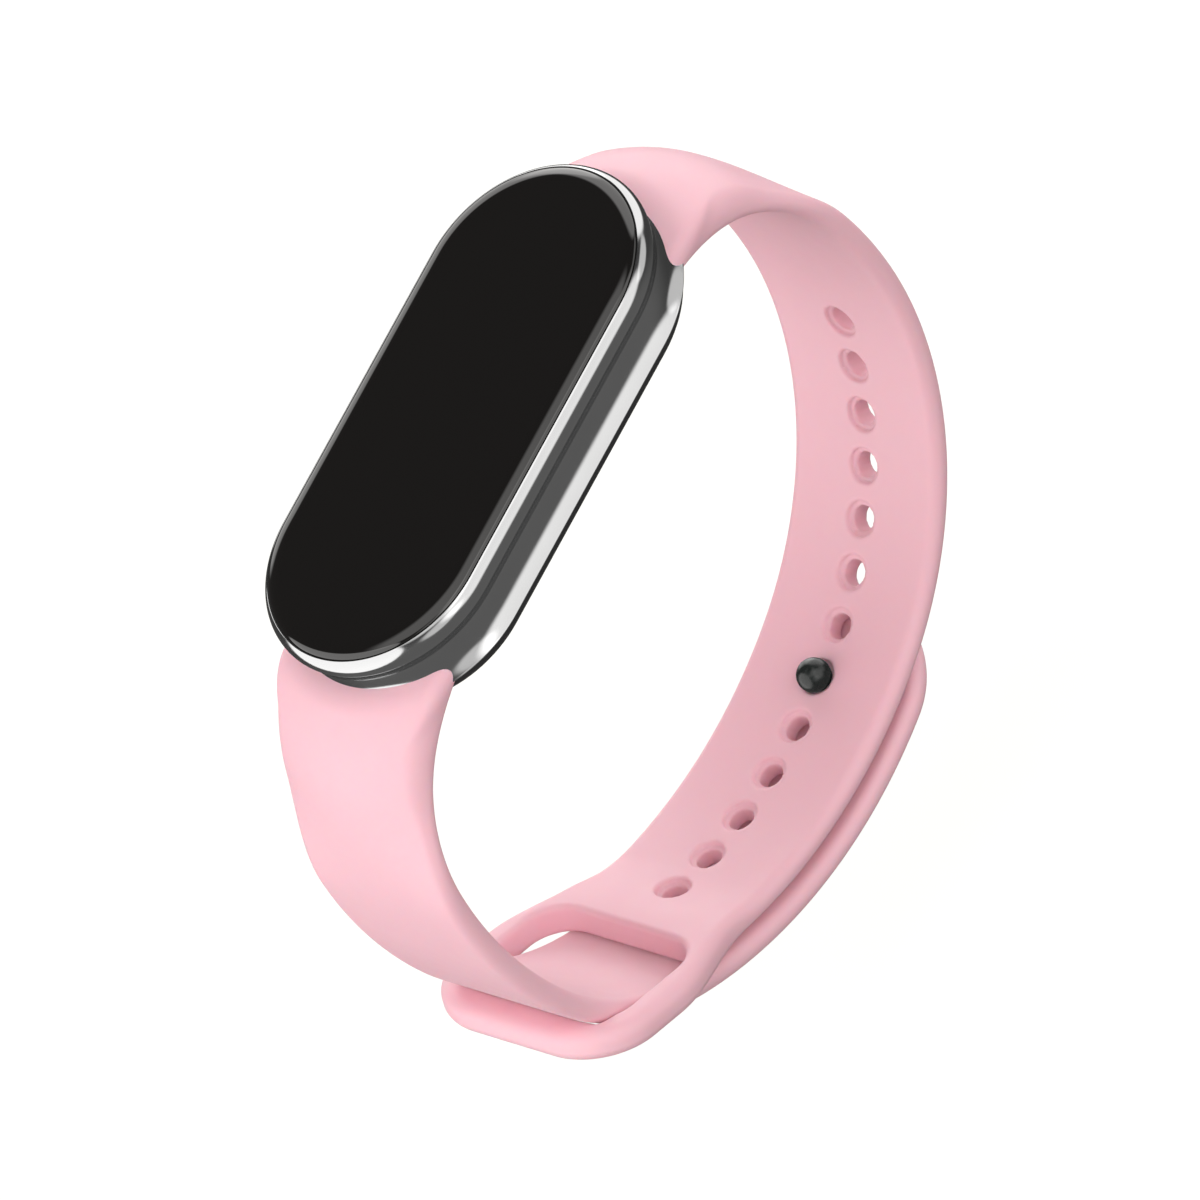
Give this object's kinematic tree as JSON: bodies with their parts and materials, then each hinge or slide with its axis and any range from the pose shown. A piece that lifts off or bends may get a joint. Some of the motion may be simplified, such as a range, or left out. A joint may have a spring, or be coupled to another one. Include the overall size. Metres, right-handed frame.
{
  "type": "fitness tracker band",
  "caption": "Capsule-shaped tracker with a glass screen in a polished metal frame, closed into a ring by a silicone strap with a loop and a peg clasp.",
  "frame": {"origin": "middle of the wrist opening, 32.5 mm below the seam between glass and frame, on the tracker's two planes of symmetry", "axes": "+X along the wrist, +Y along the tracker towards the strap half that ends in the loop, +Z out of the screen"},
  "size_m": [0.0226, 0.0691, 0.0596],
  "materials": {
    "cover_glass": "clear, smooth, over a black border",
    "black_gasket": "matte",
    "display": "dark, unlit",
    "flex": "amber film",
    "frame_metal": "polished dark silver",
    "bracket_metal": "fine matte",
    "screw_steel": "bright",
    "board_green": "solder mask",
    "chip_black": "moulded",
    "shield_metal": "tinned",
    "antenna_metal": "thin foil",
    "battery_foil": "pouch foil",
    "motor_steel": "bright",
    "led_green": "clear lens",
    "photodiode": "dark lens",
    "barrier_black": "dead matte",
    "sensor_lens": "clear over black",
    "rear_seal": "matte",
    "rear_plastic": "fine satin",
    "contact_metal": "polished",
    "connector_plastic": "moulded",
    "button_plastic": "moulded",
    "spring_steel": "thin leaf",
    "silicone_pink": "soft matte silicone",
    "peg_black": "smooth"
  },
  "bodies": {
    "tracker": {"cover_glass": "cover_glass", "glass_gasket": "black_gasket", "display_panel": "display", "display_flex": "flex", "mid_frame": "frame_metal", "inner_bracket": "bracket_metal", "bracket_screws": "screw_steel", "main_board": "board_green", "board_chips": "chip_black", "chip_shield": "shield_metal", "antenna_strip": "antenna_metal", "battery": "battery_foil", "battery_flex": "flex", "vibration_motor": "motor_steel", "sensor_board": "board_green", "sensor_leds": "led_green", "photodiodes": "photodiode", "light_barrier": "barrier_black", "sensor_window": "sensor_lens", "rear_gasket": "rear_seal", "rear_cover": "rear_plastic", "charging_contacts": "contact_metal", "strap_connector_upper": "connector_plastic", "strap_connector_lower": "connector_plastic", "button_spring_upper": "spring_steel", "button_spring_lower": "spring_steel", "buckle_strap": "silicone_pink", "peg_strap_base": "silicone_pink"},
    "tail": {"peg_strap_tail": "silicone_pink", "peg": "peg_black", "peg_cap": "peg_black"},
    "button_upper": {"release_button_upper": "button_plastic"},
    "button_lower": {"release_button_lower": "button_plastic"}
  },
  "joints": [
    {"name": "tail_lift", "type": "hinge", "parent": "tracker", "child": "tail", "pos_m": [0, -0.01735, -0.02204], "axis": [-1, 0, 0], "range_deg": [0, 40], "stiffness_Nm_per_rad": 0.004, "deforming": ["buckle_strap"]},
    {"name": "press_upper", "type": "slide", "parent": "tracker", "child": "button_upper", "axis": [0, 0, 1], "range_m": [0, 0.0004], "stiffness_N_per_m": 2000, "springref_m": -0.0003, "deforming": ["button_spring_upper"]},
    {"name": "press_lower", "type": "slide", "parent": "tracker", "child": "button_lower", "axis": [0, 0, 1], "range_m": [0, 0.0004], "stiffness_N_per_m": 2000, "springref_m": -0.0003, "deforming": ["button_spring_lower"]}
  ]
}
